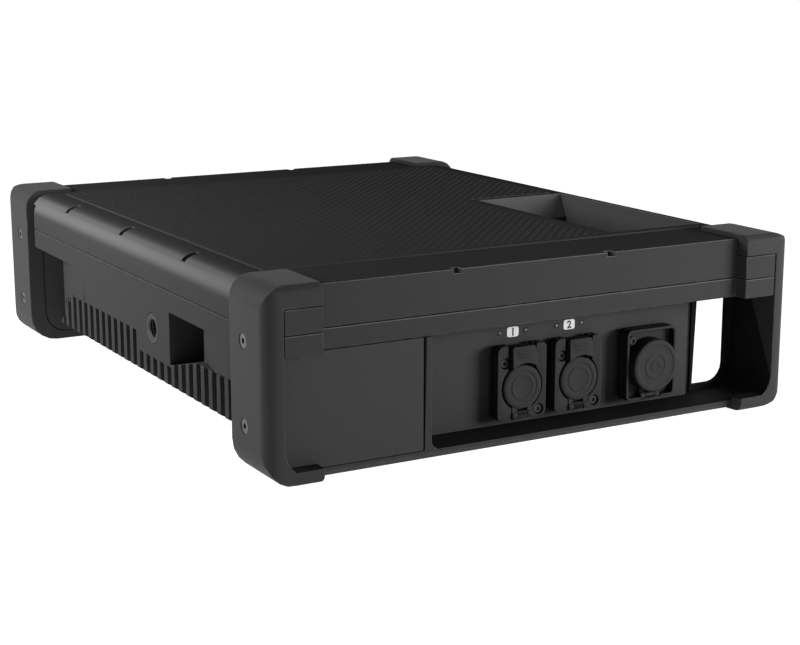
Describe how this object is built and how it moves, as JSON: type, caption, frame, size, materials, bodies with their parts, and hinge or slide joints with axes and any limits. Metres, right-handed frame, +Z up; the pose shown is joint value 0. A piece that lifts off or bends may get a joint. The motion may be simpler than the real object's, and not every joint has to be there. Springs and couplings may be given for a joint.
{
  "type": "art-net node",
  "caption": "Finned metal stage-lighting network node between bumper frames, with sealed sockets under hinged lids and a side carrying handle.",
  "frame": {"origin": "centre of the bounding box's underside, on the surface that the box stands on", "axes": "+Z up, -Y towards the front with the network ports, +X towards the carrying handle"},
  "size_m": [0.285, 0.356, 0.088],
  "materials": {
    "bumper": "fine satin black",
    "body_coating": "fine textured black powder coat",
    "panel_coating": "matt black",
    "grip_pad": "matt, finely ribbed",
    "seal_rubber": "matt",
    "socket_plastic": "moulded black",
    "screw_steel": "black oxide",
    "insert_steel": "darkened",
    "clear_plastic": "clear",
    "circuit_board": "solder mask",
    "supply_case": "plain sheet"
  },
  "bodies": {
    "housing": {"board_screw_1": "screw_steel", "board_screw_2": "screw_steel", "board_screw_3": "screw_steel", "board_screw_4": "screw_steel", "chassis_tray": "body_coating", "clamp_insert": "insert_steel", "data_port_1_lid_frame": "seal_rubber", "data_port_1_lower_screw": "screw_steel", "data_port_1_socket": "socket_plastic", "data_port_1_upper_screw": "screw_steel", "data_port_2_lid_frame": "seal_rubber", "data_port_2_lower_screw": "screw_steel", "data_port_2_socket": "socket_plastic", "data_port_2_upper_screw": "screw_steel", "display_module": "circuit_board", "display_window": "clear_plastic", "encoder_body": "socket_plastic", "front_connector_panel": "panel_coating", "front_fascia": "panel_coating", "front_frame": "bumper", "front_left_lower_frame_screw": "screw_steel", "front_left_upper_frame_screw": "screw_steel", "front_right_upper_frame_screw": "screw_steel", "handle_rim": "body_coating", "heatsink": "body_coating", "main_board": "circuit_board", "mains_inlet": "socket_plastic", "mains_lid_frame": "seal_rubber", "mains_lower_screw": "screw_steel", "mains_supply": "supply_case", "mains_upper_screw": "screw_steel", "network_port_1_lid_frame": "seal_rubber", "network_port_1_light_pipe": "clear_plastic", "network_port_1_lower_screw": "screw_steel", "network_port_1_socket": "socket_plastic", "network_port_1_upper_screw": "screw_steel", "network_port_2_lid_frame": "seal_rubber", "network_port_2_light_pipe": "clear_plastic", "network_port_2_lower_screw": "screw_steel", "network_port_2_socket": "socket_plastic", "network_port_2_upper_screw": "screw_steel", "rear_connector_panel": "panel_coating", "rear_fascia": "panel_coating", "rear_frame": "bumper", "rear_left_lower_frame_screw": "screw_steel", "rear_left_upper_frame_screw": "screw_steel", "rear_right_upper_frame_screw": "screw_steel", "top_cover": "body_coating", "top_pad": "grip_pad"},
    "network_port_1_lid": {"network_port_1_lid": "seal_rubber"},
    "network_port_1_latch": {"network_port_1_latch": "socket_plastic"},
    "network_port_2_lid": {"network_port_2_lid": "seal_rubber"},
    "network_port_2_latch": {"network_port_2_latch": "socket_plastic"},
    "data_port_1_lid": {"data_port_1_lid": "seal_rubber"},
    "data_port_1_latch": {"data_port_1_latch": "socket_plastic"},
    "data_port_2_lid": {"data_port_2_lid": "seal_rubber"},
    "data_port_2_latch": {"data_port_2_latch": "socket_plastic"},
    "mains_lid": {"mains_lid": "seal_rubber"},
    "encoder_shaft": {"encoder_shaft": "insert_steel"},
    "jog_wheel": {"jog_wheel": "socket_plastic"}
  },
  "joints": [
    {"name": "network_port_1_lid_hinge", "type": "hinge", "parent": "housing", "child": "network_port_1_lid", "pos_m": [-0.003, -0.16, 0.011], "axis": [1, 0, 0], "range_deg": [0, 105]},
    {"name": "network_port_1_latch_slide", "type": "slide", "parent": "housing", "child": "network_port_1_latch", "axis": [0, 1, 0], "range_m": [0, 0.0015], "stiffness_N_per_m": 800},
    {"name": "network_port_2_lid_hinge", "type": "hinge", "parent": "housing", "child": "network_port_2_lid", "pos_m": [0.029, -0.16, 0.011], "axis": [1, 0, 0], "range_deg": [0, 105]},
    {"name": "network_port_2_latch_slide", "type": "slide", "parent": "housing", "child": "network_port_2_latch", "axis": [0, 1, 0], "range_m": [0, 0.0015], "stiffness_N_per_m": 800},
    {"name": "data_port_1_lid_hinge", "type": "hinge", "parent": "housing", "child": "data_port_1_lid", "pos_m": [-0.003, 0.16, 0.011], "axis": [-1, 0, 0], "range_deg": [0, 105]},
    {"name": "data_port_1_latch_slide", "type": "slide", "parent": "housing", "child": "data_port_1_latch", "axis": [0, -1, 0], "range_m": [0, 0.0015], "stiffness_N_per_m": 800},
    {"name": "data_port_2_lid_hinge", "type": "hinge", "parent": "housing", "child": "data_port_2_lid", "pos_m": [0.048, 0.16, 0.011], "axis": [-1, 0, 0], "range_deg": [0, 105]},
    {"name": "data_port_2_latch_slide", "type": "slide", "parent": "housing", "child": "data_port_2_latch", "axis": [0, -1, 0], "range_m": [0, 0.0015], "stiffness_N_per_m": 800},
    {"name": "mains_lid_hinge", "type": "hinge", "parent": "housing", "child": "mains_lid", "pos_m": [0.071, -0.1605, 0.011], "axis": [1, 0, 0], "range_deg": [0, 92]},
    {"name": "encoder_push", "type": "slide", "parent": "housing", "child": "encoder_shaft", "axis": [0, -1, 0], "range_m": [0, 0.0006], "stiffness_N_per_m": 2000},
    {"name": "jog_turn", "type": "hinge", "parent": "encoder_shaft", "child": "jog_wheel", "pos_m": [-0.0925, 0.1717, 0.016], "axis": [0, 1, 0], "continuous": true}
  ]
}
